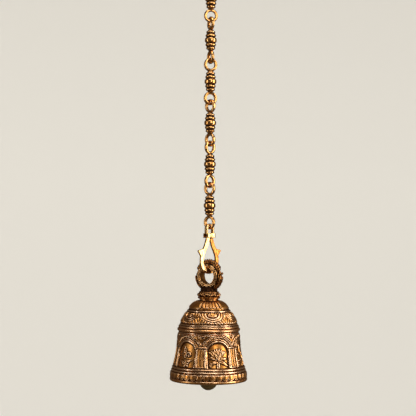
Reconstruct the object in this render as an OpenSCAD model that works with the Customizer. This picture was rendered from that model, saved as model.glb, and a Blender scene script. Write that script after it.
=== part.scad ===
// A temple bell on a chain of barrel links, with a riveted double hook.
// The origin is the centre of the top link's free eye, which hangs on the support.
// +Z is up, and the chain and the bell hang straight down from the origin.

/* [Chain] */
// Distance between the two eye centres of a link
link_centres = 43; // [42.8:0.1:46]
// Inside radius of a link's eye
eye_r = 5.2; // [5.1:0.1:5.4]
// Radial width of the metal around an eye
eye_w = 3.7; // [3.5:0.1:3.9]
// Thickness of an eye along its hole
eye_t = 4.2; // [3.9:0.1:4.4]
// Largest radius of a link's barrel
barrel_r = 7.55; // [7:0.05:8]
// Slack between two linked eyes
slack = 0.6; // [0.5:0.1:0.8]

/* [Hook] */
// Radius of the rivet's shank
rivet_r = 1.4; // [1.3:0.1:1.5]
// Thickness of each hook plate
plate_t = 2.9; // [2.7:0.1:3]
// Width of a hook's arm
arm_w = 5; // [4.6:0.1:5.2]
// Height of the rivet above the middle of the hooks' bottom
hook_drop = 44.6; // [44:0.2:46]
// Radius of the hooks' rounded bottom
hook_round_r = 3.3; // [3.1:0.1:3.4]

/* [Crown] */
// Inside radius of the crown's ring
ring_r = 10; // [10:0.1:10.6]
// Outside radius of the crown's ring
ring_out_r = 15.7; // [15.5:0.1:16]
// Thickness of the crown's ring along its hole
ring_t = 12; // [11:0.5:12]
// Radius of the lotus collar
collar_r = 15; // [14.5:0.1:15.5]

/* [Bell] */
// Radius of the bell at the petal band
rim_r = 50; // [49.5:0.1:51]
// Thickness of the bell's wall
wall_t = 4.5; // [4:0.1:4.8]
// Number of arches round the wall
arch_count = 6; // [4:1:6]
// Number of petals round the rim
petal_count = 36; // [24:1:36]

/* [Clapper] */
// Radius of the clapper's ball
ball_r = 11.7; // [10:0.1:12]
// Radius of the clapper's rod
rod_r = 2.6; // [2:0.1:3]

/* [Hidden] */
$fn = 96;

// Directions that each piece faces, as turns about Z from the front (-Y)
link_turns = [10, -68, 20, -48, 46, -42];
hook_turn = 42;
crown_turn = -33;

// Heights down the chain
link_pitch = link_centres + 2 * eye_r - slack;
last_eye_z = -(5 * link_pitch + link_centres);
shackle_top = last_eye_z - eye_r + slack;
rivet_z = shackle_top - 13.25;
hook_low_z = rivet_z - hook_drop;

// The crown's ring hangs on the hooks' round bottom
ring_gap = 0.7;
ring_z = hook_low_z + hook_round_r + ring_gap - ring_r;

// Heights on the bell, above its rim
crown_base_h = 112.5;
ring_h = crown_base_h + 20.2;
rim_z = ring_z - ring_h;
neck_h = 103.5;
dome_in_h = 97;

// Chain details
eye_round = 1.6;
barrel_half = 11.5;

// Shackle details
bow_r = 3.7;
bow_w = 3.3;
bow_t = 5;
yoke_w = 15.5;
yoke_t = 9.2;
yoke_top = 3.9;
yoke_low = 1.9;
slot_t = 2 * plate_t + 0.6;
plate_gap = 0.1;
rivet_head_r = 2.8;

// Hook details, across and up from the rivet
hook_r = hook_drop - 31.3;
hook_arc = [-1, hook_r - hook_drop];
shoulder = [-3.6, -0.6];
elbow = [-6.9, -11];
bend_r = 23;
bend_turn = 25;

// Crown details
leaf_r = ring_out_r + 4.1;
leaf_t = 8;

// Bell details
band_h = 11.8;
foot_h = 19.5;
waist_h = 57.5;
foot_r = rim_r - 4.7;
waist_r = rim_r - 11.1;
arch_h = 37.3;
arch_r = 14.2;
arch_w = 7;
capital_h = 43.5;
relief = 1;
arcade_turn = 17;
petal_turn = 6.3;

// Clapper details, as heights above the rim
staple_r = 3;
staple_eye_r = 3.6;
staple_wire = 2;
staple_eye_h = 80;
clapper_gap = 0.4;
loop_wire = 1.7;
loop_r = 4.2;
loop_len = 9;
loop_top_h = staple_eye_h - staple_eye_r + clapper_gap - loop_r;
loop_low_h = loop_top_h - loop_len;
rod_eye_r = 3.6;
rod_wire = 1.8;
rod_eye_h = loop_low_h - loop_r + clapper_gap - rod_eye_r;
ball_h = -1.5;
nut_h = 5;
washer_h = 1.8;

// Points along a bowed line from a to b, pushed sideways by up to bulge at its middle
function bowed(a, b, bulge, steps) =
    let (d = b - a, side = [-d[1], d[0]] / norm(d))
    [for (i = [0 : steps]) let (t = i / steps) a + t * d - 4 * bulge * t * (1 - t) * side];

// Turn a shape drawn flat in X and Y so that it stands in X and Z, thick about Y
module stand() {
    rotate([90, 0, 0]) children();
}

// A rectangle with round corners, centred
module round_rect(w, h, r) {
    square([w, h - 2 * r], center = true);
    square([w - 2 * r, h], center = true);
    for (x = [-1, 1], y = [-1, 1])
        translate([x * (w / 2 - r), y * (h / 2 - r)]) circle(r);
}

// ---------- chain ----------

module eye_ring() {
    stand() rotate_extrude() translate([eye_r + eye_w / 2, 0]) round_rect(eye_w, eye_t, eye_round);
}

// The turned middle: a large ring, two grooves, two middle rings and two end rings
module barrel() {
    shank_r = 4.65;
    neck_z = link_centres / 2 - eye_r - eye_w * 0.55;
    band_z = 2.9;
    cylinder(r = 5.4, h = 2 * barrel_half, center = true);
    rotate_extrude() polygon([
        [4, -band_z], [barrel_r - 1.2, -band_z], [barrel_r - 0.3, -band_z + 0.9], [barrel_r, -1],
        [barrel_r, 1], [barrel_r - 0.3, band_z - 0.9], [barrel_r - 1.2, band_z], [4, band_z]]);
    cylinder(r = barrel_r - 1.65, h = 8.2, center = true);
    for (side = [-1, 1]) {
        translate([0, 0, side * 5.9]) rotate_extrude() translate([5.1, 0]) circle(1.65);
        translate([0, 0, side * 10.4]) rotate_extrude() translate([4.75, 0]) circle(1.1);
        rotate([side > 0 ? 0 : 180, 0, 0]) translate([0, 0, barrel_half])
            cylinder(r1 = shank_r, r2 = eye_t / 2, h = neck_z - barrel_half);
    }
}

module chain_link(number) {
    color("goldenrod") translate([0, 0, -(number - 1) * link_pitch]) rotate([0, 0, link_turns[number - 1]]) {
        eye_ring();
        translate([0, 0, -link_centres / 2]) barrel();
        translate([0, 0, -link_centres]) eye_ring();
    }
}

// ---------- hook ----------

module at_hook() {
    translate([0, 0, rivet_z]) rotate([0, 0, hook_turn]) children();
}

module hook_shackle() {
    bow_z = shackle_top - rivet_z - bow_r;
    leg = bow_z - yoke_top;
    color("goldenrod") at_hook() difference() {
        union() {
            translate([0, 0, bow_z]) intersection() {
                stand() rotate_extrude()
                    translate([bow_r + bow_w / 2, 0]) round_rect(bow_w, bow_t, eye_round);
                translate([-20, -20, 0]) cube([40, 40, 40]);
            }
            for (side = [-1, 1])
                translate([side * (bow_r + bow_w / 2), 0, yoke_top - 1])
                    linear_extrude(leg + 1) round_rect(bow_w, bow_t, eye_round);
            translate([0, 0, -yoke_low])
                linear_extrude(yoke_top + yoke_low) round_rect(yoke_w, yoke_t, 2.5);
            stand() cylinder(r = rivet_head_r, h = yoke_t, center = true);
        }
        translate([-20, -slot_t / 2, -10]) cube([40, slot_t, 13.2]);
        stand() cylinder(r = rivet_r, h = 20, center = true);
    }
}

module hook_rivet() {
    head_t = 1.1;
    color("gold") at_hook() {
        stand() cylinder(r = rivet_r, h = yoke_t, center = true);
        for (side = [0, 180])
            rotate([0, 0, side]) translate([0, -yoke_t / 2, 0]) stand()
                cylinder(r1 = rivet_head_r, r2 = rivet_head_r * 0.6, h = head_t);
    }
}

// The middle line of a hook's arm, from beside the rivet down, round the bend and under the J
function arm_line() =
    let (bend_mid = hook_arc + [bend_r - hook_r, 0])
    concat(
        [shoulder, elbow],
        [for (turn = [180 - bend_turn : 5 : 180]) bend_mid + bend_r * [cos(turn), sin(turn)]],
        [for (turn = [185 : 5 : 230]) hook_arc + hook_r * [cos(turn), sin(turn)]]
    );

// The outline of a ribbon of width w along a line
function ribbon(line, w) =
    let (
        last = len(line) - 1,
        along = [for (i = [0 : last]) line[min(i + 1, last)] - line[max(i - 1, 0)]],
        side = [for (d = along) [-d[1], d[0]] / norm(d) * w / 2]
    )
    concat([for (i = [0 : last]) line[i] + side[i]], [for (i = [last : -1 : 0]) line[i] - side[i]]);

// The flat part of a hook: head, arm, bend and the outer side of the J, with its spur
module hook_outline() {
    spur_z = hook_arc[1] + 12;
    circle(3);
    polygon(ribbon(arm_line(), arm_w));
    polygon([
        [-9.5, spur_z + 4.5], [-16.5, spur_z + 2.4], [-20, spur_z + 1.8],
        [-20.5, spur_z + 0.2], [-18.6, spur_z - 1.6], [-16.7, spur_z - 5], [-12, spur_z - 6]
    ]);
}

// Half of a round bar, on the plate's side of the middle
module half_round() {
    intersection() {
        circle(hook_round_r);
        translate([-hook_round_r, plate_gap]) square([2 * hook_round_r, plate_t]);
    }
}

module hook_plate() {
    round_from = 230;
    tip_turn = 12;
    difference() {
        union() {
            translate([0, -plate_gap, 0]) stand() linear_extrude(plate_t) hook_outline();
            translate([hook_arc[0], 0, hook_arc[1]]) stand() rotate([0, 0, round_from])
                rotate_extrude(angle = 270 + tip_turn - round_from) translate([hook_r, 0]) half_round();
        }
        stand() cylinder(r = rivet_r + 0.05, h = 20, center = true);
    }
}

module hook_front() {
    color("khaki") at_hook() hook_plate();
}

module hook_rear() {
    color("darkkhaki") at_hook() rotate([0, 0, 180]) hook_plate();
}

// ---------- crown ----------

module at_bell() {
    translate([0, 0, rim_z]) children();
}

// The ring's moulded section, to the right of its axis
module ring_section() {
    mid_r = (ring_r + ring_out_r) / 2;
    translate([mid_r, 0]) round_rect(ring_out_r - ring_r, ring_t - 1.2, 2.8);
    for (roll = [-0.7, 0.5, 1.7], side = [-1, 1])
        translate([mid_r + roll, side * (ring_t / 2 - 0.8)]) circle(0.8);
}

// One side leaf, drawn flat: a curved band with a pointed tip
module leaf_outline() {
    intersection() {
        difference() {
            circle(leaf_r);
            circle(ring_out_r - 0.4);
        }
        polygon([[0, -30], [30, -30], [30, 4], [leaf_r * cos(32), leaf_r * sin(32)], [10, 4], [2, -14]]);
    }
}

// The crest's lobes over the top of the ring, drawn flat
module crest_outline() {
    difference() {
        for (turn = [40 : 25 : 140])
            rotate(turn) translate([ring_out_r + 0.6, 0]) circle(4.4 + 1.6 * sin(turn));
        circle(ring_out_r - 0.6);
    }
}

module crown_loop() {
    crest_t = 9;
    color("saddlebrown") at_bell() difference() {
        union() {
            translate([0, 0, ring_h]) rotate([0, 0, crown_turn]) {
                stand() rotate_extrude() ring_section();
                for (side = [0, 180])
                    rotate([0, 0, side]) translate([0, leaf_t / 2, 0])
                        stand() linear_extrude(leaf_t) leaf_outline();
                translate([0, crest_t / 2, 0]) stand() linear_extrude(crest_t) crest_outline();
            }
            translate([0, 0, crown_base_h]) cylinder(r = 12, h = 2);
            translate([0, 0, crown_base_h + 2]) cylinder(r1 = 11, r2 = 6, h = 5);
        }
        translate([0, 0, crown_base_h - 1]) cylinder(r = staple_r, h = 8.5);
    }
}

module lotus_collar() {
    color("peru") at_bell() rotate_extrude() difference() {
        union() {
            translate([0, neck_h]) square([12.5, crown_base_h - neck_h]);
            translate([collar_r - 3, neck_h + 4.2]) round_rect(6, 7, 2.6);
            translate([collar_r - 3.2, neck_h + 7.6]) circle(1.4);
        }
        translate([0, neck_h - 1]) square([staple_r, 20]);
        translate([-20, neck_h - 5]) square([20, 20]);
    }
}

// ---------- bell ----------

// Outside of the shell, from the lip up to the neck
function outer_line() = concat(
    [
        [rim_r - 1.5, 0], [rim_r - 0.6, 2], [rim_r - 1.3, band_h], [rim_r - 3.1, band_h + 0.8],
        [rim_r - 3.8, band_h + 3.6], [foot_r, foot_h]
    ],
    bowed([foot_r, foot_h], [waist_r, waist_h], -1.1, 5),
    [[rim_r - 11.4, 61.5], [rim_r - 11.4, 69.5]],
    bowed([rim_r - 13.9, 73], [rim_r - 22.4, 88], 0.7, 4),
    bowed([rim_r - 24, 90], [12.6, 101.5], 2, 4),
    [[12, neck_h], [0, neck_h]]
);

// Inside of the shell, from the dome's middle down to the lip
function inner_line() = concat(
    [[0, dome_in_h]],
    bowed([11, dome_in_h], [rim_r - 28, 88], -1.2, 3),
    bowed([rim_r - 28, 88], [waist_r - wall_t, 67], -1.2, 3),
    bowed([waist_r - wall_t, 60], [foot_r - wall_t + 0.6, foot_h], 1, 4),
    [[rim_r - 6, 0]]
);

module shell_section() {
    polygon(concat(outer_line(), inner_line()));
    translate([rim_r - 3.4, band_h + 2.1]) circle(1.4);
    translate([rim_r - 4.6, band_h + 5.5]) circle(1.4);
    translate([rim_r - 12.1, 65.8]) circle(2.1);
    translate([rim_r - 13.8, 71.6]) circle(1);
    translate([rim_r - 23.3, 88.9]) circle(1.1);
}

// A thin skin on the wall between two heights, for raised work
module wall_skin(low, high, thick) {
    steps = 5;
    line = bowed([foot_r, foot_h], [waist_r, waist_h], -1.1, steps);
    intersection() {
        rotate_extrude() polygon(concat(line, [for (i = [steps : -1 : 0]) line[i] + [thick, 0]]));
        translate([0, 0, low]) cylinder(r = 2 * rim_r, h = high - low);
    }
}

// A flat shape stood against the wall and pushed out along the radius, from start_r
module pushed_out(start_r) {
    translate([0, -start_r, 0]) rotate([90, 0, 0]) linear_extrude(rim_r + 5 - start_r) children();
}

module arches() {
    turn = 360 / arch_count;
    intersection() {
        wall_skin(capital_h + 3.5, waist_h - 0.2, relief);
        for (k = [0 : arch_count - 1])
            rotate([0, 0, arcade_turn + k * turn]) pushed_out(waist_r - 5)
            translate([0, arch_h]) difference() {
                circle(arch_r + arch_w);
                circle(arch_r);
            }
    }
}

// Fluted half columns with a base and a capital
module columns() {
    turn = 360 / arch_count;
    lean = atan2(foot_r - waist_r - 1.4, waist_h - foot_h);
    for (k = [0 : arch_count - 1])
        rotate([0, 0, arcade_turn + (k + 0.5) * turn]) {
            for (flute = [-6, 0, 6])
                rotate([0, 0, flute]) translate([0, -foot_r + 1.5, foot_h - 1]) rotate([-lean, 0, 0])
                    cylinder(r = 2, h = capital_h - foot_h + 3);
            rotate([0, 0, -99.5]) rotate_extrude(angle = 19) {
                translate([foot_r - 6, capital_h]) square([2.5, 3.2]);
                translate([foot_r - 1.5, foot_h - 1]) square([1.9, 2]);
            }
        }
}

module petals() {
    turn = 360 / petal_count;
    petal_r = 0.45 * 2 * PI * rim_r / petal_count;
    intersection() {
        rotate_extrude()
            polygon([[rim_r - 2, 3.4], [rim_r, 4], [rim_r - 0.8, band_h - 0.2], [rim_r - 3, band_h]]);
        for (k = [0 : petal_count - 1])
            rotate([0, 0, petal_turn + k * turn]) pushed_out(rim_r - 2.5) translate([0, 8]) circle(petal_r);
    }
}

module bell_shell() {
    color("chocolate") at_bell() difference() {
        union() {
            rotate_extrude() shell_section();
            arches();
            columns();
            petals();
        }
        cylinder(r = staple_r + 0.2, h = 2 * neck_h);
    }
}

// ---------- clapper ----------

module clapper_staple() {
    color("darkgoldenrod") at_bell() {
        translate([0, 0, staple_eye_h + staple_eye_r + staple_wire])
            cylinder(r = staple_r, h = crown_base_h + 7.5 - staple_eye_h - staple_eye_r - staple_wire);
        translate([0, 0, staple_eye_h]) stand() rotate_extrude()
            translate([staple_eye_r + staple_wire, 0]) circle(staple_wire);
    }
}

module staple_washer() {
    color("silver") at_bell() translate([0, 0, dome_in_h - washer_h]) difference() {
        cylinder(r = 8, h = washer_h);
        translate([0, 0, -1]) cylinder(r = staple_r + 0.2, h = 5);
    }
}

module staple_nut() {
    color("silver") at_bell() translate([0, 0, dome_in_h - washer_h - nut_h]) difference() {
        cylinder(r = 6.4, h = nut_h, $fn = 6);
        translate([0, 0, -1]) cylinder(r = staple_r, h = 10);
    }
}

module clapper_link() {
    color("darkgoldenrod") at_bell() rotate([0, 0, 90]) {
        for (low = [0, 1])
            translate([0, 0, low == 0 ? loop_top_h : loop_low_h]) rotate([0, low * 180, 0]) intersection() {
                stand() rotate_extrude() translate([loop_r + loop_wire, 0]) circle(loop_wire);
                translate([-10, -10, 0]) cube(20);
            }
        for (side = [-1, 1])
            translate([side * (loop_r + loop_wire), 0, loop_low_h]) cylinder(r = loop_wire, h = loop_len);
    }
}

module clapper_rod() {
    rod_top = rod_eye_h - rod_eye_r - rod_wire;
    screw_low = ball_h + ball_r - 8;
    color("darkgoldenrod") at_bell() {
        translate([0, 0, rod_eye_h]) stand() rotate_extrude()
            translate([rod_eye_r + rod_wire, 0]) circle(rod_wire);
        translate([0, 0, ball_h + ball_r + 2]) cylinder(r = rod_r, h = rod_top - ball_h - ball_r - 2);
        translate([0, 0, screw_low]) cylinder(r = rod_r - 0.6, h = rod_top - screw_low - 4);
    }
}

module clapper_ball() {
    collar_h = ball_h + ball_r + 2;
    color("darkolivegreen") at_bell() difference() {
        union() {
            translate([0, 0, ball_h]) sphere(ball_r);
            translate([0, 0, ball_h + ball_r - 2]) cylinder(r = 5, h = 4);
        }
        translate([0, 0, ball_h + ball_r - 8]) cylinder(r = rod_r - 0.6, h = 30);
    }
}

chain_link(1);  // chain_link_1
chain_link(2);  // chain_link_2
chain_link(3);  // chain_link_3
chain_link(4);  // chain_link_4
chain_link(5);  // chain_link_5
chain_link(6);  // chain_link_6
hook_shackle();
hook_rivet();
hook_front();
hook_rear();
crown_loop();
lotus_collar();
bell_shell();
clapper_staple();
staple_washer();
staple_nut();
clapper_link();
clapper_rod();
clapper_ball();
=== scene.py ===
import math

import bpy
import numpy as np
from mathutils import Matrix, Vector


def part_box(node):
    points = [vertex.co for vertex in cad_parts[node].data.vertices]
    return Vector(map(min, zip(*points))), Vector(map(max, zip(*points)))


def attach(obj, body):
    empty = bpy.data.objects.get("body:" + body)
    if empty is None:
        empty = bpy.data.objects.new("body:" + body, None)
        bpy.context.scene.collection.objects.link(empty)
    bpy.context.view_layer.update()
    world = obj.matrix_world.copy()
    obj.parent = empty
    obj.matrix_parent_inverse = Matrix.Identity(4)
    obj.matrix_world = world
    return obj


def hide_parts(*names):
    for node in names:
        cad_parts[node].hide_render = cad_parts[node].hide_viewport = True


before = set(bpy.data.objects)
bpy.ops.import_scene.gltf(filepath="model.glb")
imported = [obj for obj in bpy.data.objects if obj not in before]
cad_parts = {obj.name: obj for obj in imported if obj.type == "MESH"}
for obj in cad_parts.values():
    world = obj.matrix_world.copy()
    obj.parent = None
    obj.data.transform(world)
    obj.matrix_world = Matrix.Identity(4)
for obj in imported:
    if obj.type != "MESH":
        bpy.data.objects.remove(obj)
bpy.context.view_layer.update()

MM = 0.001
TAU = 2 * math.pi

# Sizes and directions shared with the CAD model, in millimetres and degrees.
# A name that ends in _H is a height above the rim.
RIM_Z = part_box("bell_shell")[0].z / MM
LINK_PITCH = 52.8
LINK_CENTRES = 43
LINK_TURNS = (10, -68, 20, -48, 46, -42)
HOOK_TURN = 42
CROWN_TURN = -33
RING_H = 132.7
CROWN_BASE_H = 112.5
NECK_H = 103.5
STAPLE_HOLE_R = 3.2
BALL_R = 11.7
ROD_R = 2.6


# ---------- shapes as numbers ----------

def step(a, b, x):
    """0 below a, 1 above b, and smooth between."""
    t = np.clip((x - a) / (b - a), 0, 1)
    return t * t * (3 - 2 * t)


def bar(a, b, x, soft=0.2):
    """1 between a and b, with soft edges."""
    return step(a - soft, a + soft, x) * (1 - step(b - soft, b + soft, x))


def dome(d, half):
    """A rounded ridge that is 1 in its middle and 0 at half."""
    return np.sqrt(np.clip(1 - (d / half) ** 2, 0, 1))


def hump(x, middle, spread):
    """A soft bump that is 1 in its middle and has all but faded at twice its spread."""
    return np.exp(-((x - middle) / spread) ** 2)


def bowed(a, b, bulge, steps):
    """Points from a to b along a line pushed sideways by bulge at its middle."""
    a, b = np.array(a, float), np.array(b, float)
    d = b - a
    side = np.array([-d[1], d[0]]) / np.hypot(*d)
    t = np.linspace(0, 1, steps + 1)[:, None]
    return a + t * d - 4 * bulge * t * (1 - t) * side


def bead(r, z, rad):
    """A bead's half circle in a profile, from its foot to its head."""
    turn = np.radians(np.linspace(-84, 84, 9))
    return np.stack([r + rad * np.cos(turn), z + rad * np.sin(turn)], 1)


def resampled(points, spacing):
    """The same line with points at even steps, closer than spacing."""
    points = np.array(points, float)
    along = np.r_[0, np.cumsum(np.hypot(*np.diff(points, axis=0).T))]
    t = np.linspace(0, along[-1], int(along[-1] / spacing) + 2)
    return np.stack([np.interp(t, along, points[:, k]) for k in range(points.shape[1])], 1)


def near_line(x, y, points):
    """How far each place is from a line, and how far along the line that is, from 0 to 1."""
    points = np.array(points, float)
    length = np.hypot(*np.diff(points, axis=0).T)
    start = np.r_[0, np.cumsum(length)]
    best, along = np.full(x.shape, 1e9), np.zeros(x.shape)
    for k, (p, q) in enumerate(zip(points[:-1], points[1:])):
        d = q - p
        t = np.clip(((x - p[0]) * d[0] + (y - p[1]) * d[1]) / (d @ d), 0, 1)
        far = np.hypot(x - p[0] - t * d[0], y - p[1] - t * d[1])
        closer = far < best
        best = np.where(closer, far, best)
        along = np.where(closer, (start[k] + t * length[k]) / start[-1], along)
    return best, along


def lay(field, far, half, height, halo=0.55, vein=0.0):
    """Lays a rounded form of the given half width over a height field, with a cut line around it."""
    inside = 1 - step(half, half + halo, far)
    body = height * dome(far, np.maximum(half, 1e-3))
    body = body * (1 - vein * hump(far, 0, 0.32))
    return field * (1 - inside) + body


def leaf(field, x, y, root, tip, wide, bend=0.0, height=1.5, vein=0.35):
    """A pointed leaf from root to tip."""
    far, t = near_line(x, y, bowed(root, tip, bend, 7))
    half = wide * (0.12 + np.sin(np.pi * np.clip(t, 0, 1) ** 0.85) ** 0.8)
    return lay(field, far, half, height, vein=vein)


def curl(field, x, y, centre, rad, start, end, wide, height=1.4):
    """A scroll that winds in from rad to its middle."""
    turn = np.radians(np.linspace(start, end, 22))
    r = np.linspace(rad, rad * 0.25, 22)
    points = np.stack([centre[0] + r * np.cos(turn), centre[1] + r * np.sin(turn)], 1)
    far, t = near_line(x, y, points)
    return lay(field, far, wide * (1 - 0.35 * t), height)


# ---------- shapes as meshes ----------

def ring_faces(rows, cols, closed):
    """Faces between rows of points that run round an axis."""
    low = np.arange(rows if closed else rows - 1)[:, None]
    high = (low + 1) % rows
    j = np.arange(cols)[None, :]
    k = (j + 1) % cols
    quads = [low * cols + j, low * cols + k, high * cols + k, high * cols + j]
    return np.stack(quads, -1).reshape(-1, 4)


def revolved(loop, cols, rise=None, push=None):
    """A closed outline (r, z) swept round Z. rise moves each point by that much along push (r, z)."""
    theta = np.arange(cols) * TAU / cols
    r = np.repeat(loop[:, :1], cols, 1)
    z = np.repeat(loop[:, 1:], cols, 1)
    if rise is not None:
        r = r + rise * push[:, :1]
        z = z + rise * push[:, 1:]
    co = np.stack([r * np.sin(theta), -r * np.cos(theta), z], -1).reshape(-1, 3)
    return co, ring_faces(len(loop), cols, True)


def capped(rows, cols):
    """Faces of a stack of rings, closed at both ends."""
    last = (rows - 1) * cols
    return ring_faces(rows, cols, False).tolist() + [list(range(cols))[::-1], list(range(last, last + cols))]


def stood(co):
    """Turns a shape made round Z so that its axis is Y, with its top to the front."""
    return np.stack([co[:, 0], -co[:, 2], co[:, 1]], 1)


def turned(co, degrees):
    """Turns points about Z."""
    c, s = math.cos(math.radians(degrees)), math.sin(math.radians(degrees))
    return np.stack([c * co[:, 0] - s * co[:, 1], s * co[:, 0] + c * co[:, 1], co[:, 2]], 1)


def moved(co, x, y, z):
    """Shifts points by the given amounts."""
    return co + np.array([x, y, z], float)


def egg(centre, radii, tilt=0.0, turn=0.0, cols=20, rows=12):
    """An ellipsoid, tilted about its Y and then turned in the XZ plane."""
    polar = np.linspace(-math.pi / 2 + 0.02, math.pi / 2 - 0.02, rows)
    loop = np.stack([np.cos(polar), np.sin(polar)], 1)
    co = revolved(loop, cols)[0] * np.array(radii)
    quads = capped(rows, cols)
    c, s = math.cos(math.radians(tilt)), math.sin(math.radians(tilt))
    co = np.stack([co[:, 0] * c - co[:, 1] * s, co[:, 0] * s + co[:, 1] * c, co[:, 2]], 1)
    c, s = math.cos(math.radians(turn)), math.sin(math.radians(turn))
    co = np.stack([co[:, 0] * c - co[:, 2] * s, co[:, 1], co[:, 0] * s + co[:, 2] * c], 1)
    return co + np.array(centre), quads


def tube(points, wide, thick, cols=16):
    """A closed tube along a line in the XZ plane, wide to each side of it and thick to front and back."""
    points = np.array(points, float)
    along = np.gradient(points[:, [0, 2]], axis=0)
    along /= np.hypot(*along.T)[:, None]
    across = np.stack([-along[:, 1], np.zeros(len(points)), along[:, 0]], 1)
    wide, thick = np.broadcast_to(wide, len(points)), np.broadcast_to(thick, len(points))
    turn = np.arange(cols) * TAU / cols
    co = (points[:, None] + across[:, None] * (wide[:, None] * np.cos(turn))[..., None]
          + np.array([0, 1, 0]) * (thick[:, None] * np.sin(turn))[..., None])
    return co.reshape(-1, 3), capped(len(points), cols)


def arc(rad, start, end, count, y=0.0):
    """Points on a circle in the XZ plane."""
    turn = np.radians(np.linspace(start, end, count))
    return np.stack([rad * np.cos(turn), np.full(count, y), rad * np.sin(turn)], 1)


def cad_shape(node):
    """A copy of a CAD node's mesh, in millimetres."""
    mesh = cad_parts[node].data
    co = np.empty(len(mesh.vertices) * 3)
    mesh.vertices.foreach_get("co", co)
    return co.reshape(-1, 3) / MM, [list(p.vertices) for p in mesh.polygons]


def links_between(quads):
    """Each edge of a mesh once, as a pair of point numbers."""
    pairs = np.concatenate([quads[:, [k, (k + 1) % quads.shape[1]]] for k in range(quads.shape[1])])
    pairs.sort(axis=1)
    code = np.unique(pairs[:, 0].astype(np.int64) * (pairs.max() + 1) + pairs[:, 1])
    return code // (pairs.max() + 1), code % (pairs.max() + 1)


def relaxed(co, links, times, amount=0.5):
    """Moves each point towards the middle of its neighbours."""
    a, b = links
    n = len(co)
    share = np.bincount(a, minlength=n) + np.bincount(b, minlength=n)
    for _ in range(times):
        near = np.stack([np.bincount(a, co[b, k], n) + np.bincount(b, co[a, k], n) for k in range(3)], 1)
        co = co + amount * (near / share[:, None] - co)
    return co


def normals(co, quads):
    """The outward direction at each point."""
    across = np.cross(co[quads[:, 2]] - co[quads[:, 0]], co[quads[:, 3]] - co[quads[:, 1]])
    n = len(co)
    total = np.stack([sum(np.bincount(quads[:, j], across[:, k], n) for j in range(4)) for k in range(3)], 1)
    return total / np.maximum(np.linalg.norm(total, axis=1), 1e-12)[:, None]


# How far the surroundings reach, as rounds of smoothing; how much each reach counts; and its usual height
WEAR_REACHES = ((4, 0.7, 0.3), (16, 0.4, 0.8), (60, 0.12, 2.4))


# This relief map drives the material's paint: rubbed wear and a painted highlight on ridges, and patina and
# painted shade in cuts.
def wear_and_painted_light(co, quads, depth):
    """How proud each point stands of its surroundings: about +1 on a ridge and -1 in a cut."""
    links, out = links_between(quads), normals(co, quads)
    total, soft, done = np.zeros(len(co)), co, 0
    for times, share, scale in WEAR_REACHES:
        soft, done = relaxed(soft, links, times - done, 0.7), times
        proud = np.einsum("ij,ij->i", out, co - soft)
        total += share * np.tanh((proud - np.median(proud)) / (scale * depth))
    return total


def fused(parts, voxel, soften):
    """Joins closed shapes into one skin of even quads, and softens its edges as a casting's are."""
    co, faces, start = [], [], 0
    for points, quads in parts:
        co.append(points)
        faces += [[start + i for i in q] for q in quads]
        start += len(points)
    mesh = bpy.data.meshes.new("parts")
    mesh.from_pydata(np.concatenate(co).tolist(), [], faces)
    carrier = bpy.data.objects.new("parts", mesh)
    bpy.context.scene.collection.objects.link(carrier)
    mod = carrier.modifiers.new("remesh", "REMESH")
    mod.mode, mod.voxel_size, mod.use_smooth_shade = "VOXEL", voxel, True
    depsgraph = bpy.context.evaluated_depsgraph_get()
    made = bpy.data.meshes.new_from_object(carrier.evaluated_get(depsgraph))
    co = np.empty(len(made.vertices) * 3)
    made.vertices.foreach_get("co", co)
    quads = np.empty(len(made.polygons) * 4, int)
    made.polygons.foreach_get("vertices", quads)
    bpy.data.objects.remove(carrier)
    for used in (mesh, made):
        bpy.data.meshes.remove(used)
    co, quads = co.reshape(-1, 3), quads.reshape(-1, 4)
    return relaxed(co, links_between(quads), soften), quads


LUMPS = np.random.default_rng(11).normal(size=(9, 3))
SHIFTS = np.random.default_rng(12).uniform(0, TAU, 9)


def cast(co, quads, size, amount):
    """The slight waviness of a hand finished casting."""
    waves = sum(np.sin(co @ (v / np.linalg.norm(v)) * TAU / size * (0.7 + 0.09 * k) + s)
                for k, (v, s) in enumerate(zip(LUMPS, SHIFTS)))
    return co + normals(co, quads) * (waves * amount / 4)[:, None]


def piece(name, co, quads, body, node, material, depth, painted_shade_and_patina=0.0):
    """Makes a finished piece from points in millimetres. depth is its usual relief; the last argument darkens
    places, with painted shade and with patina.
    """
    mesh = bpy.data.meshes.new(name)
    mesh.vertices.add(len(co))
    mesh.vertices.foreach_set("co", (co * MM).astype(np.float32).ravel())
    mesh.loops.add(quads.size)
    mesh.loops.foreach_set("vertex_index", quads.astype(np.int32).ravel())
    mesh.polygons.add(len(quads))
    mesh.polygons.foreach_set("loop_start", np.arange(0, quads.size, 4, dtype=np.int32))
    mesh.update(calc_edges=True)
    mesh.validate()
    mesh.polygons.foreach_set("use_smooth", np.ones(len(mesh.polygons), bool))
    # The stored map is the relief less the painted shade and patina given for this piece.
    wear_light_attribute = mesh.attributes.new("wear_and_painted_light", "FLOAT", "POINT")
    wear_light_attribute.data.foreach_set("value", (wear_and_painted_light(co, quads, depth) - painted_shade_and_patina).astype(np.float32))
    mesh.materials.append(material)
    made = bpy.data.objects.new(name, mesh)
    bpy.context.scene.collection.objects.link(made)
    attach(made, body)
    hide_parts(node)


# ---------- materials ----------

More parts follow.
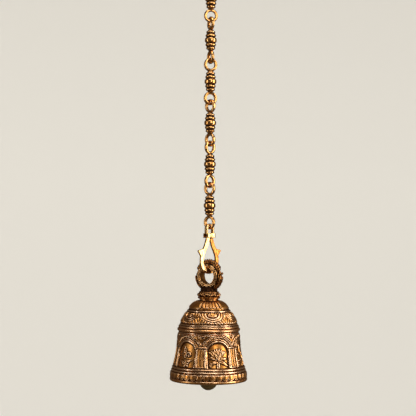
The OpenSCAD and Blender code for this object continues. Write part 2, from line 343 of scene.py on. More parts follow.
def metal(name, mid, warm, dark, bright, rough, dull=0.0, grain=1.0, cut=-0.2):
    """An old cast metal: its colour wanders, its cuts are dark and rough with patina and painted shade, and
    its ridges are rubbed bright and carry a painted highlight.

    dull takes some of the metal away, grain is the strength of its fine marks, and cut is the level of the
    relief map at which the dark of the cuts starts. bright is the ridge colour, partly rubbed metal and
    partly painted highlight; dark is the cut colour, partly patina and partly painted shade. Noise scales are
    per metre.
    """
    material = bpy.data.materials.new(name)
    material.use_nodes = True
    tree = material.node_tree
    make, wire = tree.nodes.new, tree.links.new
    shader = tree.nodes["Principled BSDF"]
    place = make("ShaderNodeTexCoord").outputs["Object"]
    bump_height = 0.12 * MM

    def noise(scale, detail, roughness=0.55):
        node = make("ShaderNodeTexNoise")
        node.inputs["Scale"].default_value = scale
        node.inputs["Detail"].default_value = detail
        node.inputs["Roughness"].default_value = roughness
        wire(place, node.inputs["Vector"])
        return node.outputs["Fac"]

    def spread(value, low, high, to_low=0.0, to_high=1.0):
        node = make("ShaderNodeMapRange")
        node.interpolation_type = "SMOOTHSTEP"
        numbers = {"From Min": low, "From Max": high, "To Min": to_low, "To Max": to_high}
        for socket, number in numbers.items():
            node.inputs[socket].default_value = number
        wire(value, node.inputs["Value"])
        return node.outputs["Result"]

    def combine(kind, a, b):
        node = make("ShaderNodeMath")
        node.operation = kind
        for socket, value in zip(node.inputs, (a, b)):
            if isinstance(value, (int, float)):
                socket.default_value = value
            else:
                wire(value, socket)
        return node.outputs["Value"]

    def blend(factor, a, b):
        node = make("ShaderNodeMix")
        node.data_type = "RGBA"
        for socket, value in ((node.inputs[0], factor), (node.inputs[6], a), (node.inputs[7], b)):
            if isinstance(value, tuple):
                socket.default_value = (*value, 1)
            else:
                wire(value, socket)
        return node.outputs[2]

    wear_light_attribute = make("ShaderNodeAttribute")
    wear_light_attribute.attribute_name = "wear_and_painted_light"
    blotch = noise(170, 4)
    fine = noise(900, 5, 0.65)
    pits = noise(2600, 3, 0.7)
    unevenness = combine("MULTIPLY", combine("SUBTRACT", fine, 0.5), 0.8 * grain)
    edge = combine("ADD", wear_light_attribute.outputs["Fac"], unevenness)
    # Patina and painted shade: the cuts take the dark colour.
    in_cut = spread(edge, cut, cut - 0.48)
    # Rubbed wear and painted highlight: the ridges take the bright colour.
    on_ridge = spread(edge, 0.2, 0.95)
    soot = combine("MULTIPLY", spread(blotch, 0.5, 0.8), 0.55 * grain)
    colour = blend(spread(blotch, 0.32, 0.68), mid, warm)
    colour = blend(on_ridge, colour, bright)
    # The dark of the cuts, patina with painted shade, joined with the random soot blotches.
    patina_and_painted_shade = combine("MAXIMUM", in_cut, soot)
    colour = blend(patina_and_painted_shade, colour, dark)
    wire(colour, shader.inputs["Base Color"])
    gloss = spread(fine, 0.3, 0.75, rough - 0.07, rough + 0.1)
    gloss = combine("ADD", gloss, combine("MULTIPLY", patina_and_painted_shade, 0.3))
    wire(combine("SUBTRACT", gloss, combine("MULTIPLY", on_ridge, 0.06)), shader.inputs["Roughness"])
    wire(spread(patina_and_painted_shade, 0.0, 1.0, 1.0 - dull, 0.92 - 0.5 * dull), shader.inputs["Metallic"])
    bump = make("ShaderNodeBump")
    bump.inputs["Strength"].default_value = 0.3 * grain
    bump.inputs["Distance"].default_value = bump_height
    wire(combine("ADD", fine, combine("MULTIPLY", pits, 0.4)), bump.inputs["Height"])
    wire(bump.outputs["Normal"], shader.inputs["Normal"])
    return material


BELL = metal("bell_brass", (0.54, 0.205, 0.04), (0.66, 0.31, 0.08), (0.050, 0.016, 0.004),
             (0.82, 0.57, 0.37), 0.31, grain=0.8)
RING = metal("ring_brass", (0.50, 0.20, 0.045), (0.62, 0.30, 0.08), (0.030, 0.010, 0.003),
             (0.95, 0.62, 0.32), 0.26, grain=0.5, cut=0.05)
CROWN = metal("crown_brass", (0.36, 0.13, 0.028), (0.48, 0.20, 0.05), (0.030, 0.010, 0.003),
              (0.70, 0.42, 0.19), 0.29, grain=0.8, cut=0.02)
CHAIN = metal("chain_brass", (0.70, 0.33, 0.09), (0.82, 0.46, 0.17), (0.040, 0.013, 0.003),
              (0.97, 0.78, 0.52), 0.19, grain=0.6, cut=-0.05)
# The front hook's brass is painted lighter than the other brasses as a painted highlight on its lit faces,
# and its ridge colour is a darker orange, painted shade on its edges.
HOOK = metal("hook_brass", (0.80, 0.47, 0.18), (0.87, 0.57, 0.26), (0.06, 0.02, 0.004),
             (0.60, 0.28, 0.07), 0.26, grain=0.5)
# A painted-shade copy of the hook's brass for the rear hook, darker because its faces are turned from the
# light.
SHADED_HOOK = metal("hook_brass_painted_shade", (0.40, 0.155, 0.03), (0.50, 0.22, 0.05), (0.04, 0.014, 0.003),
                 (0.70, 0.38, 0.12), 0.3, grain=0.6)
INNER = metal("inner_brass", (0.20, 0.12, 0.045), (0.27, 0.17, 0.06), (0.03, 0.018, 0.01),
              (0.42, 0.28, 0.12), 0.5)
STEEL = metal("fastener_steel", (0.34, 0.32, 0.29), (0.42, 0.39, 0.35), (0.05, 0.035, 0.025),
              (0.62, 0.60, 0.56), 0.38)
BALL = metal("ball_brass", (0.15, 0.10, 0.04), (0.22, 0.14, 0.055), (0.03, 0.02, 0.012),
             (0.36, 0.24, 0.10), 0.46, dull=0.2)


# ---------- the bell ----------

ARCHES = 6
ARCH_TURN = 17
SPRING_H = 37.3
OPEN_R = 14.2
# The cuts between the arch's bands, as distances from the middle of its curve
ARCH_CUTS_R = (16.75, 18.9, 22.15)
BASE_H, CAPITAL_H, BOSS_H = 20.5, 44.8, 59.6
# The reeds of a column: middle and half width in degrees, and height
REEDS = ((-7.6, 2.1, 1.35), (-2.6, 2.5, 0.8), (2.4, 2.4, 0.85), (7.5, 2.2, 1.6))
PETALS = 36
PETAL_TURN = 6.3
PETAL_R = 4.14
PETAL_MIDDLE_H = 8.1
WALL_LOW_H, WALL_HIGH_H = 19.5, 60.4
# Where the wall's piece ends and the dome's starts
SEAM_H = 60.6
# The cuts between the mouldings, which are painted darkest, as patina and painted shade
GROOVES_H = (12.2, 15.6, 19.2, 60.8, 62.9, 67.7, 70.7, 73.1, 87.4, 90.2)
GARLANDS = 6
GARLAND_TURN = 9
GARLAND_MIDDLE = 14.0
DOME_PETALS = 6
DOME_PETAL_TURN = 5.5
WALL_COLS, DOME_COLS = 528, 480


def sector(theta, turn, count):
    """The angle from the nearest of count even places, in radians."""
    each = TAU / count
    return (theta - math.radians(turn) + each / 2) % each - each / 2


def odd_sector(theta, turn, count):
    """1 in every other one of count even places, and 0 in the rest."""
    each = 360 / count
    return np.floor((np.degrees(theta) - turn + each / 2) / each) % 2


def petal_band(theta, r, z):
    """Round-ended petals that hang side by side, each with a smaller one inside it."""
    x = r * sector(theta, PETAL_TURN, PETALS)
    inside = PETAL_R - np.hypot(x, np.minimum(z - PETAL_MIDDLE_H, 0))
    rise = 1.1 * step(-0.1, 0.5, inside)
    rise -= 0.45 * hump(inside, 1.35, 0.34)
    rise += 0.3 * dome(np.hypot(x, (z - 8.4) * 0.7), 2.6)
    return rise * bar(3.9, 11.6, z, 0.35)


def lotus(x, z):
    """An open lotus on its stem."""
    root = (-0.5, 28.4)
    f = np.zeros(x.shape)
    for side in (-1, 1):
        f = leaf(f, x, z, (-0.8 + side * 0.9, 19.6), (-0.6 + side * 0.5, 28), 0.75, side * 0.4, 1.0, 0)
    f = leaf(f, x, z, (-1, 27.4), (-10.6, 22.4), 1.5, 1.6, 1.1)
    f = curl(f, x, z, (-9.6, 24.2), 2.2, -100, -420, 0.65, 1.1)
    f = leaf(f, x, z, (0.5, 27.4), (12.2, 22.4), 1.9, -1.4, 1.5)
    f = leaf(f, x, z, (0, 28.6), (11.6, 31.2), 1.7, -1.5, 1.3)
    f = leaf(f, x, z, (-1, 28.8), (-12.6, 31.6), 1.8, 2.2, 1.3)
    for tip, wide, bend in (((-12.4, 39.4), 1.9, 1.8), ((9.6, 40), 1.9, -1.6)):
        f = leaf(f, x, z, root, tip, wide, bend, 1.3)
    for tip in ((-5.4, 43.4), (-2.1, 44.2), (1.4, 44.2), (4.6, 43)):
        f = leaf(f, x, z, root, tip, 1.55, 0, 1.2)
    for tip, bend in (((-8.7, 41.4), 1), ((-0.4, 41.6), 0), ((7.6, 41), -1)):
        f = leaf(f, x, z, root, tip, 1.75, bend, 1.5)
    for tip, bend in (((-4.6, 38.6), 0.5), ((3.6, 38.4), -0.5)):
        f = leaf(f, x, z, root, tip, 1.8, bend, 1.7)
    return f


def scroll(x, z):
    """A pointed bud over a scroll and a star of small leaves."""
    f = np.zeros(x.shape)
    f = leaf(f, x, z, (-2, 20), (-1.5, 31), 0.8, 0.8, 1.0, 0)
    for turn in range(-60, 300, 60):
        a = math.radians(turn + 20)
        f = leaf(f, x, z, (1.5, 25), (1.5 + 6 * math.cos(a), 25 + 5 * math.sin(a)), 1.4, 0.3, 1.4)
    f = leaf(f, x, z, (-3, 24), (-9.5, 27.6), 1.5, 1.2, 1.2)
    f = leaf(f, x, z, (-1.5, 31), (-4.6, 47), 2.3, 1.2, 1.5)
    f = leaf(f, x, z, (-1.2, 31), (0.6, 43), 1.7, -0.8, 1.3)
    f = curl(f, x, z, (4.6, 35), 4.4, 200, -150, 1.05, 1.5)
    f = leaf(f, x, z, (-1.5, 31.5), (-9.8, 35.6), 1.8, 1.8, 1.3)
    f = leaf(f, x, z, (0, 29.5), (10, 29.4), 1.4, 1.4, 1.3)
    return f


def arcade(theta, r, z):
    """Six arched niches with their columns, capitals and corner fields."""
    turn = sector(theta, ARCH_TURN, ARCHES)
    x = r * turn
    from_column = r * (math.pi / ARCHES - np.abs(turn))
    side = np.degrees(math.pi / ARCHES - np.abs(turn)) * -np.sign(turn)
    ring = np.hypot(x, np.maximum(z - SPRING_H, 0))
    open_edge = OPEN_R - ring

    # The arch's bands, from the opening outwards
    f = np.full(x.shape, 0.55)
    f += 0.75 * dome(ring - OPEN_R - 1.15, 1.15)
    f -= 0.75 * hump(ring, ARCH_CUTS_R[0], 0.3)
    f += 0.25 * bar(17.1, 18.5, ring)
    f -= 0.8 * hump(ring, ARCH_CUTS_R[1], 0.3)
    around = np.degrees(np.arctan2(z - SPRING_H, x))
    f += bar(19.3, 21.8, ring) * (0.3 + 0.5 * np.cos(around * TAU / 5.2))
    f -= 0.8 * hump(ring, ARCH_CUTS_R[2], 0.28)
    f += 0.5 * dome(ring - 22.8, 0.5)

    # The corner field above the capital, with its small hanging boss
    corner = step(23.3, 23.7, ring)
    field = 0.65 - 0.9 * hump(ring, 23.9, 0.35)
    boss = np.hypot(from_column, z - BOSS_H)
    field = np.where(boss < 3.7, 0.65 - 1.3 * (1 - step(3.1, 3.7, boss)), field)
    field += 1.7 * hump(boss, 1.7, 0.62) * (1 - step(59.2, 59.8, z))
    f = f * (1 - corner) + field * corner

    # The column: reeds between a base and a capital
    in_column = (1 - step(9.5, 9.9, np.abs(side))) * (1 - step(45.9, 46.3, z))
    reeds = np.zeros(x.shape)
    for centre, half, height in REEDS:
        reeds = np.maximum(reeds, height * dome(side - centre, half))
    reeds += 0.12 * np.cos(side * 5.2) * bar(-5, 5, side)
    shaft = 0.1 + reeds
    shaft = np.where(z > 42.9, 0.2, shaft)
    shaft += (1.65 - shaft * 0.8) * dome(z - CAPITAL_H, 1.15)
    shaft = np.where(z < 21.3, np.maximum(shaft, 1.5 * dome(z - BASE_H, 0.9)), shaft)
    f = f * (1 - in_column) + shaft * in_column

    # The niche's floor and what grows on it
    opened = step(0, 0.5, open_edge)
    floor = -0.95 + 0.55 * step(0.6, 8, open_edge)
    flower = np.where(odd_sector(theta, ARCH_TURN, ARCHES) > 0.5, scroll(x, z), lotus(x, z))
    f = f * (1 - opened) + (floor + flower * 0.8) * opened
    return f * bar(WALL_LOW_H, WALL_HIGH_H, z, 0.3)


def outer_profile():
    """The outside from the lip up to the neck, with its beads, and the part that each point belongs to."""
    parts = [
        ("lip", [(46.6, 0), (48.4, 0.1), (49.1, 0.6), (49.4, 1.6), (49.4, 2.9), (49.1, 3.6), (48.3, 3.9)]),
        ("petals", [(48.2, 4.1), (47.7, 11.6)]),
        ("rim", [(46.9, 12.0), (46.3, 12.4)]),
        ("rim", bead(46.4, 13.9, 1.35)),
        ("rim", [(45.7, 15.5), (45.7, 15.7)]),
        ("rim", bead(45.3, 17.3, 1.5)),
        ("arcade", [(44.9, 19.0), *bowed((44.7, 19.4), (38.9, 57.5), -1.1, 12), (38.5, 60.3)]),
        ("rim", [(37.7, SEAM_H)]),
        ("top", [(37.7, SEAM_H), (37.7, 60.9)]),
        ("top", bead(37.7, 61.8, 0.85)),
        ("top", [(37.5, 62.9)]),
        ("top", bead(38.0, 65.2, 2.15)),
        ("top", [(37.4, 67.6), (38.4, 67.9), (38.7, 68.4), (38.6, 69.7), (38.1, 70.3), (36.6, 70.6)]),
        ("top", bead(36.2, 71.7, 0.95)),
        ("top", [(35.5, 72.9), (36.1, 73.3)]),
        ("tier2", bowed((36.1, 73.4), (27.8, 87.2), 0.7, 10)),
        ("top", [(26.9, 87.5)]),
        ("top", bead(26.7, 88.8, 1.15)),
        ("top", [(25.9, 90.1)]),
        ("tier1", bowed((26.0, 90.4), (13.0, 101.2), 2, 10)),
        ("top", [(12.2, 101.9), (12.0, NECK_H)]),
    ]
    points, owner = [], []
    for part, line in parts:
        line = np.array(line, float)
        fine = 0.42 if part in ("petals", "arcade", "tier1", "tier2") else 0.5
        line = resampled(line, fine) if len(line) > 1 else line
        points.append(line)
        owner += [part] * len(line)
    return np.concatenate(points), np.array(owner)


INNER_LINE = np.concatenate([
    [(STAPLE_HOLE_R, 97), (7, 97)],
    bowed((11, 97), (22, 88), -1.2, 6),
    bowed((22, 88), (34.4, 67), -1.2, 12)[1:],
    [(34.4, SEAM_H)],
    bowed((34.4, 60), (41.4, 18), 1, 14),
    [(42.9, 8), (43.7, 2.5), (44.2, 0.9), (45.2, 0.1)],
])


def festoons(theta, r, s, length):
    """Hanging garlands round a half moon, with leaves between them."""
    x = r * sector(theta, GARLAND_TURN, GARLANDS)
    e = np.hypot(x / 6.3, (s - GARLAND_MIDDLE) / 4.8)
    f = 1.5 * dome(e, 0.95) - 0.5 * hump(e, 0.52, 0.08)
    f -= 1.0 * hump(e, 1.1, 0.13)
    for centre, half, height in ((1.46, 0.26, 1.15), (2.03, 0.25, 1.05)):
        f += height * dome(e - centre, half)
    beyond = step(2.33, 2.4, e)
    lean = np.abs(x) * 0.80 + s * 0.62
    veins = 1.05 * dome((lean + 1.7) % 3.4 - 1.7, 1.6)
    fan = dome(np.hypot((np.abs(x) - r * math.pi / GARLANDS) / 1.5, s - 12.6), 3.4)
    fan_cut = 0.5 * hump(fan, 0.75, 0.1) * (fan > 0)
    corner = np.maximum(veins * bar(1.0, 9.0, s, 0.4), 1.5 * fan - fan_cut)
    f = f * (1 - beyond) + beyond * corner
    return f * bar(0.5, length - 0.6, s, 0.4)


def crown_petals(theta, r, s, length):
    """Broad petals under the neck, every other one veined."""
    x = r * sector(theta, DOME_PETAL_TURN, DOME_PETALS)
    edge = r * math.pi / DOME_PETALS - np.abs(x)
    inside = np.minimum(edge - 0.3, s - 1.2 - np.maximum(3 - edge, 0) ** 2 / 3)
    f = 0.8 * step(0, 0.8, inside) - 0.3 * hump(inside, 1.5, 0.3)
    leaves = np.zeros(x.shape)
    for k in range(-2, 3):
        reach = 0.19 * r * k
        far = np.abs(x - reach)
        half = np.maximum(r * 0.085 * (1 - 0.5 * step(length * 0.55, length, s)), 0.4)
        leaves = np.maximum(leaves, 0.9 * dome(far, half) * (1 - 0.5 * hump(far, 0, 0.25)))
    veined = f * 0.45 + leaves * bar(2.2, length - 1.2, s, 0.4) * step(1.2, 2, inside)
    f = np.where(odd_sector(theta, DOME_PETAL_TURN, DOME_PETALS) < 0.5, veined, f)
    return f * bar(0.4, length - 0.3, s, 0.4)


def outward(line, along):
    """The directions (r, z) in which relief stands out, smoothed so that beads don't fan them out."""
    even = np.arange(0, along[-1], 0.5)
    soft = np.stack([np.interp(even, along, line[:, k]) for k in (0, 1)], 1)
    reach = 14
    kernel = hump(np.arange(-reach, reach + 1), 0, 7)
    pad = np.pad(soft, ((reach, reach), (0, 0)), mode="reflect", reflect_type="odd")
    soft = np.stack([np.convolve(pad[:, k], kernel / kernel.sum(), "valid") for k in (0, 1)], 1)
    run = np.gradient(soft, axis=0)
    out = np.stack([run[:, 1], -run[:, 0]], 1) / np.hypot(*run.T)[:, None]
    return np.stack([np.interp(along, even, out[:, k]) for k in (0, 1)], 1)


def bell_pieces():
    """The bell in two pieces, its wall with the arcade and its dome, which meet in the cut at SEAM_H."""
    line, owner = outer_profile()
    along = np.r_[0, np.cumsum(np.hypot(*np.diff(line, axis=0).T))]
    push = outward(line, along)
    split = int(np.argmax(owner == "top"))
    inner_split = int(np.argmax(INNER_LINE[:, 1] <= SEAM_H))
    for name, part, inner, cols in (
            ("bell_wall", slice(0, split), INNER_LINE[inner_split:], WALL_COLS),
            ("bell_dome", slice(split, None), INNER_LINE[:inner_split + 1], DOME_COLS)):
        theta = np.arange(cols) * TAU / cols
        outside, own = line[part], owner[part]
        th, z = np.meshgrid(theta, outside[:, 1])
        r = np.repeat(outside[:, :1], cols, 1)
        rise = np.zeros(th.shape)
        for zone, shape in (("petals", petal_band), ("arcade", arcade)):
            rows = own == zone
            if rows.any():
                rise[rows] = shape(th[rows], r[rows], z[rows])
        for zone, shape in (("tier2", festoons), ("tier1", crown_petals)):
            rows = own == zone
            if rows.any():
                s = along[part][rows] - along[part][rows][0]
                rise[rows] = shape(th[rows], r[rows], np.repeat(s[:, None], cols, 1), s[-1])
        if name == "bell_dome":
            inner = np.concatenate([[(STAPLE_HOLE_R, NECK_H)], inner])
        inside = resampled(inner, 2.6)
        loop = np.concatenate([outside, inside])
        full = np.concatenate([rise, np.zeros((len(inside), cols))])
        directions = np.concatenate([push[part], np.zeros((len(inside), 2))])
        co, quads = revolved(loop, cols, full, directions)
        co = moved(cast(co, quads, 9, 0.05), 0, 0, RIM_Z)
        # Painted shade: the neck under the collar is darkened, and the grooves between the mouldings are
        # darkened as patina and painted shade.
        neck = 1 - step(12.6, 14.2, np.hypot(co[:, 0], co[:, 1]))
        painted_shade_and_patina = 0.8 * neck
        painted_shade_and_patina += sum(0.7 * hump(co[:, 2] - RIM_Z, high, 0.4) for high in GROOVES_H)
        piece(name, co, quads, "bell", "bell_shell", BELL, 0.42, painted_shade_and_patina)


bell_pieces()


# ---------- the lotus collar and the crown ----------

def lotus_collar():
    """The collar under the crown: a thick roll, and flowers with scrolls between them."""
    flowers, flower_r, flower_h = 10, 14, NECK_H + 5.4
    line = np.concatenate([
        [(11.6, NECK_H + 0.3), (12.4, NECK_H + 0.5)], bead(13.1, NECK_H + 1.75, 1.2),
        [(12.8, NECK_H + 3.1)], bowed((13.0, NECK_H + 3.2), (13.2, NECK_H + 7.5), 1.15, 10),
        [(12.7, NECK_H + 7.6)], bead(12.4, NECK_H + 8.2, 0.6), [(11, CROWN_BASE_H)],
    ])
    line = resampled(line, 0.28)
    inside = resampled([(STAPLE_HOLE_R, CROWN_BASE_H), (STAPLE_HOLE_R, NECK_H + 0.3)], 3)
    cols = 420
    theta = np.arange(cols) * TAU / cols
    th, z = np.meshgrid(theta, line[:, 1])
    v = z - flower_h
    x = flower_r * sector(th, -2, flowers)
    far, a = np.hypot(x, v), np.arctan2(v, x)
    f = -0.5 + 1.5 * dome(far, 2.6) * (0.65 + 0.35 * np.cos(5 * a)) + 0.6 * dome(far, 0.9)
    x = flower_r * sector(th, 16, flowers)
    half_scroll = [(0, 0), (1.2, 0.5), (1.9, 1.4), (1.2, 2.2), (0.3, 1.8), (0.5, 1.1)]
    for side in (-1, 1):
        near, _ = near_line(side * x, side * v, half_scroll)
        f = np.maximum(f, -0.5 + 1.4 * dome(near, 0.8))
    rise = f * bar(NECK_H + 3.2, NECK_H + 7.6, z, 0.3)
    push = np.tile([1.0, 0.0], (len(line), 1))
    loop = np.concatenate([line, inside])
    co, quads = revolved(loop, cols, np.concatenate([rise, np.zeros((len(inside), cols))]),
                         np.concatenate([push, np.zeros((len(inside), 2))]))
    co = moved(co, 0, 0, RIM_Z)
    piece("lotus_collar_cast", co, quads, "bell", "lotus_collar", CROWN, 0.3)


lotus_collar()


def roll(r, high, half, rise):
    """A half round roll on the ring's face, as points (r, height)."""
    turns = np.radians(np.linspace(-80, 80, 9))
    return [(r + half * math.sin(t), high + rise * math.cos(t)) for t in turns]


def crown_ring():
    """The moulded ring that the hooks hold, with three rolls on each face and dark grooves between them."""
    grooves_r = (11.5, 13.3, 15.5)
    face = [(10.0, 4.7), (10.1, 5.5), *roll(10.75, 5.3, 0.62, 0.65), (11.5, 4.2), *roll(12.4, 4.9, 0.68, 0.7),
            (13.25, 3.8), *roll(14.2, 4.4, 0.72, 0.75), (15.05, 3.5), (15.5, 3.1), (15.7, 2.2)]
    line = resampled([(15.75, 0)] + [(r, -h) for r, h in face[::-1]] + [(9.95, 0)] + face, 0.22)
    co, quads = revolved(line[::-1], 300)
    rad = np.hypot(co[:, 0], co[:, 1])
    # The grooves between the rolls are darkened as patina and painted shade.
    painted_shade_and_patina = sum(0.9 * hump(rad, groove, 0.38) for groove in grooves_r)
    co = moved(turned(stood(cast(co, quads, 7, 0.08)), CROWN_TURN), 0, 0, RIM_Z + RING_H)
    piece("crown_ring_cast", co, quads, "bell", "crown_loop", RING, 0.3, painted_shade_and_patina)


def within(co, reach):
    """Keeps points no further than reach from the ring's axis."""
    rad = np.hypot(co[:, 0], co[:, 2])
    co = co.copy()
    co[:, [0, 2]] *= np.minimum(1, reach / np.maximum(rad, 1))[:, None]
    return co


def crown_leaves():
    """The leaf cradle that grips the ring, the crest over it and the foot on the collar.

    The right side's leaf has spiky lobes, and the left one's is plain: (angle, reach outwards, height).
    """
    spiky = ((-62, 2.2, 3.0), (-38, 2.8, 3.4), (-14, 3.4, 3.6), (10, 3.6, 4.0))
    plain = ((-70, 2.0, 3.0),)
    most_out, leaf_r, crest_r = 19.75, 17.0, 17.1
    parts = []
    t = np.linspace(0, 1, 34)
    for side in (-1, 1):
        leafy = [tube(arc(17.4, -88, 27, 34), 2.35 - 1.9 * t ** 2.5, 4.2 - 3.2 * t ** 2)]
        for depth in (-1, 1):
            leafy.append(tube(arc(16.7, -80, 12, 34, 3.4 * depth), 0.75 - 0.4 * t, 1.2))
            leafy.append(tube(arc(18.7, -84, 0, 34, 3.0 * depth), 0.75 - 0.3 * t, 1.1))
        for turn, reach, high in spiky if side > 0 else plain:
            a = math.radians(turn)
            s = np.linspace(0, 1, 10)[:, None]
            way = np.array([reach * math.cos(a), 0, reach * math.sin(a) * 0.4 + high])
            out = leaf_r * np.array([math.cos(a), 0, math.sin(a)]) + s * way
            out += np.array([1.1, 0, -0.5]) * np.sin(s * math.pi)
            thin = 1 - s[:, 0] ** 1.8
            for depth in (-1, 1):
                out_d = out + np.array([0, 1.5 * depth, 0])
                leafy.append(tube(out_d, 0.28 + 1.35 * thin, 0.35 + 1.9 * thin))
        for points, faces in leafy:
            points = points * np.array([side, 1, 1])
            parts.append((within(points, most_out), [f[::-1] for f in faces] if side < 0 else faces))
    parts.append(tube(arc(leaf_r, 28, 152, 30), 1.9, 4.0))
    for turn in range(34, 153, 9):
        a = math.radians(turn)
        high = 1.9 + 1.5 * math.sin(a)
        rad = crest_r + 1.7 * math.sin(a)
        parts.append(egg((rad * math.cos(a), 0, rad * math.sin(a)), (1.5, 4.8, high), 34, turn - 90))
    foot = np.array([
        (12.4, CROWN_BASE_H), (12.6, 112.9), (11.2, 113.6), (9.6, 114.6), (8.8, 116.4), (8.0, 119.4),
        (STAPLE_HOLE_R, 119.8), (STAPLE_HOLE_R, CROWN_BASE_H)])
    co, quads = revolved(foot, 96)
    parts.append((moved(co, 0, 0, -RING_H), quads[:, ::-1].tolist()))
    for turn in range(15, 375, 40):
        co, quads = egg((0, -8.6, CROWN_BASE_H + 2.6 - RING_H), (2.2, 2.6, 2.0))
        parts.append((turned(co, turn), quads))
    co, quads = fused(parts, 0.27, 2)
    # Painted shade where the leaves meet the ring, in the gap beside it.
    painted_shade_and_patina = 1.1 * (1 - step(15.9, 17.7, np.hypot(co[:, 0], co[:, 2])))
    co = moved(turned(cast(co, quads, 4, 0.2), CROWN_TURN), 0, 0, RIM_Z + RING_H)
    # Painted shade on the foot under the ring.
    painted_shade_and_patina += 0.7 * (1 - step(CROWN_BASE_H + 3, CROWN_BASE_H + 8, co[:, 2] - RIM_Z))
    piece("crown_leaves_cast", co, quads, "bell", "crown_loop", CROWN, 0.5, painted_shade_and_patina)


crown_ring()
crown_leaves()


# ---------- the chain, the hooks and the clapper ----------

def chain():
    """Six castings of one link, each with a tall rounded band round its barrel and patina and painted shade
    in the grooves.
    """
    upper = [(7.5, 0), (7.45, 1.1), (7.3, 2.1), (6.9, 2.7), (6.2, 2.9), (3, 2.9)]
    band, band_faces = revolved(np.array([(r, -z) for r, z in upper[::-1]] + upper[1:]), 64)
    band = moved(band, 0, 0, -LINK_CENTRES / 2)
    co, faces = cad_shape("chain_link_1")
    co, quads = fused([(turned(co, -LINK_TURNS[0]), faces), (band, band_faces.tolist())], 0.32, 3)
    up = np.abs(co[:, 2] + LINK_CENTRES / 2)
    # Patina and painted shade in the barrel's grooves.
    painted_shade_and_patina = 0.7 * hump(up, 3.6, 0.55) + 0.6 * hump(up, 8.4, 0.6)
    for number, turn in enumerate(LINK_TURNS, 1):
        points = moved(turned(co, turn), 0, 0, -(number - 1) * LINK_PITCH)
        points = cast(points, quads, 6, 0.04)
        body, node = f"link_{number}", f"chain_link_{number}"
        piece(f"link_{number}_cast", points, quads, body, node, CHAIN, 0.3, painted_shade_and_patina)


chain()


def round_yoke(co, quads):
    """Rounds the outside of the yoke, and leaves the slot that the hooks turn in as it is."""
    yoke_top_z, slot_wall, softening = -321.8, 3.4, 30
    out = np.abs(turned(co, -HOOK_TURN)[:, 1:2])
    share = (1 - step(yoke_top_z, yoke_top_z + 1, co[:, 2:])) * step(slot_wall, slot_wall + 0.7, out)
    return co + share * (relaxed(co, links_between(quads), softening) - co)


def from_cad(node, body, material, voxel, soften):
    """A CAD part with the soft edges and slight waves of a casting."""
    co, quads = fused([cad_shape(node)], voxel, soften)
    if node == "hook_shackle":
        co = round_yoke(co, quads)
    piece(f"{node}_cast", cast(co, quads, 5, 0.06), quads, body, node, material, 0.4)


for node, body, slot, material, voxel, soften in (
        ("hook_shackle", "shackle", "hook_brass", HOOK, 0.22, 3),
        ("hook_rivet", "shackle", "hook_brass", HOOK, 0.12, 3),
        ("hook_front", "hook_front", "hook_brass", HOOK, 0.22, 4),
        ("hook_rear", "hook_rear", "hook_brass", SHADED_HOOK, 0.22, 4),
        ("clapper_staple", "bell", "inner_brass", INNER, 0.3, 2),
        ("staple_washer", "bell", "fastener_steel", STEEL, 0.25, 2),
        ("staple_nut", "bell", "fastener_steel", STEEL, 0.25, 2),
        ("clapper_link", "clapper_link", "inner_brass", INNER, 0.25, 2),
        ("clapper_rod", "clapper", "inner_brass", INNER, 0.3, 2)):
    from_cad(node, body, material, voxel, soften)


def clapper_ball():
    """A cast ball with a faint parting line and the hole that its rod screws into."""
    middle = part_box("clapper_ball")[0].z / MM + BALL_R
    hole_r, hole_deep, core_r = ROD_R + 0.05, 2.5, 0.2
    polar = np.radians(np.linspace(-89, 76, 120))
    rad = BALL_R - 0.12 + 0.1 * hump(np.degrees(polar), 0, 2.2)
    line = np.stack([rad * np.cos(polar), rad * np.sin(polar)], 1)
    top = line[-1, 1]
    hole = [(hole_r, top + 0.1), (hole_r, top - hole_deep), (core_r, top - hole_deep), (core_r, 0.7 - BALL_R)]
    co, quads = revolved(np.concatenate([line, hole]), 180)
    co = moved(cast(co, quads, 7, 0.12), 0, 0, middle)
    piece("clapper_ball_cast", co, quads, "clapper", "clapper_ball", BALL, 0.2)


clapper_ball()


# ---------- the studio ----------

def floor_material():
    """Plain and pale, and lit a little from within, as a light tent's cloth is."""
    material = bpy.data.materials.new("pale_floor")
    material.use_nodes = True
    shader = material.node_tree.nodes["Principled BSDF"]
    shader.inputs["Base Color"].default_value = (0.74, 0.73, 0.70, 1)
    shader.inputs["Roughness"].default_value = 0.9
    shader.inputs["Emission Color"].default_value = (0.80, 0.78, 0.73, 1)
    shader.inputs["Emission Strength"].default_value = 0.24
    return material


def studio():
    """A floor that curves up into a round wall, far enough out for a camera on any side."""
    floor_z, wall_top_z = RIM_Z - 1100, 3200
    flat_r = curve_r = 1400
    cols = 96
    bend = [(flat_r + curve_r * math.sin(a), floor_z + curve_r * (1 - math.cos(a)))
            for a in np.linspace(0.1, math.pi / 2, 14)]
    line = [(0.05, floor_z), (flat_r, floor_z), *bend, (flat_r + curve_r, wall_top_z)]
    theta = np.arange(cols) * TAU / cols
    co = np.array([[r * math.sin(t), -r * math.cos(t), z] for r, z in line for t in theta]) * MM
    mesh = bpy.data.meshes.new("floor")
    mesh.from_pydata(co.tolist(), [], [q[::-1] for q in ring_faces(len(line), cols, False).tolist()])
    mesh.polygons.foreach_set("use_smooth", np.ones(len(mesh.polygons), bool))
    mesh.materials.append(floor_material())
    floor = bpy.data.objects.new("floor", mesh)
    bpy.context.scene.collection.objects.link(floor)
    floor.visible_glossy = False


studio()


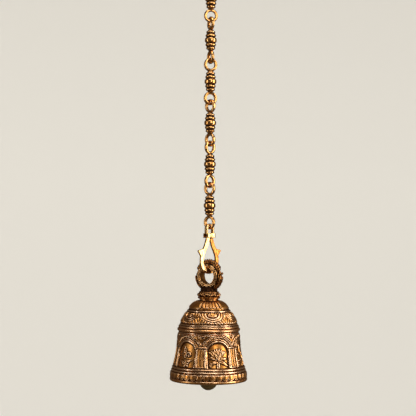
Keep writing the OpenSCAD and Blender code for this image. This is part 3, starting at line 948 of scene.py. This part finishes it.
AIM = Vector((0, 0, -0.36))


def soft_light(name, azimuth, elevation, away, wide, high, power, colour):
    """A soft box that faces the bell, in metres and watts. Azimuth is from the front towards the right."""
    a, e = math.radians(azimuth), math.radians(elevation)
    data = bpy.data.lights.new(name, "AREA")
    data.shape, data.size, data.size_y = "RECTANGLE", wide, high
    data.energy, data.color = power, colour
    made = bpy.data.objects.new(name, data)
    way = Vector((math.sin(a) * math.cos(e), -math.cos(a) * math.cos(e), math.sin(e)))
    made.location = AIM + away * way
    made.rotation_euler = (-way).to_track_quat("-Z", "Y").to_euler()
    bpy.context.scene.collection.objects.link(made)


soft_light("key", 74, 12, 1.3, 0.5, 1.3, 15, (1.0, 0.97, 0.92))
soft_light("front", 22, 22, 1.7, 0.35, 0.9, 7, (1.0, 0.96, 0.90))
soft_light("left", -67, 8, 1.5, 0.2, 1.2, 5, (0.95, 0.97, 1.0))
soft_light("top", 10, 78, 1.5, 1.0, 1.0, 14, (1.0, 0.98, 0.95))

# A dim warm glow from all round, which keeps the patina brown where no light reaches
world = bpy.data.worlds.new("studio")
world.use_nodes = True
background = world.node_tree.nodes["Background"]
background.inputs["Color"].default_value = (0.85, 0.64, 0.42, 1)
background.inputs["Strength"].default_value = 0.12
bpy.context.scene.world = world
bpy.context.scene.view_settings.view_transform = "Standard"

# The camera is level, at a little over mid height of what is in view, and rolled by a hair
CAMERA_AWAY = 1600
CAMERA_H = 219.6
CAMERA_X = -2.0
CAMERA_ROLL = 0.4
CAMERA_LENS = 108.4
camera_data = bpy.data.cameras.new("camera")
camera_data.sensor_width, camera_data.lens = 36, CAMERA_LENS
camera = bpy.data.objects.new("camera", camera_data)
camera.matrix_world = (Matrix.Translation(Vector((CAMERA_X, -CAMERA_AWAY, RIM_Z + CAMERA_H)) * MM)
                       @ Matrix.Rotation(math.pi / 2, 4, "X")
                       @ Matrix.Rotation(math.radians(CAMERA_ROLL), 4, "Z"))
bpy.context.scene.collection.objects.link(camera)
bpy.context.scene.camera = camera
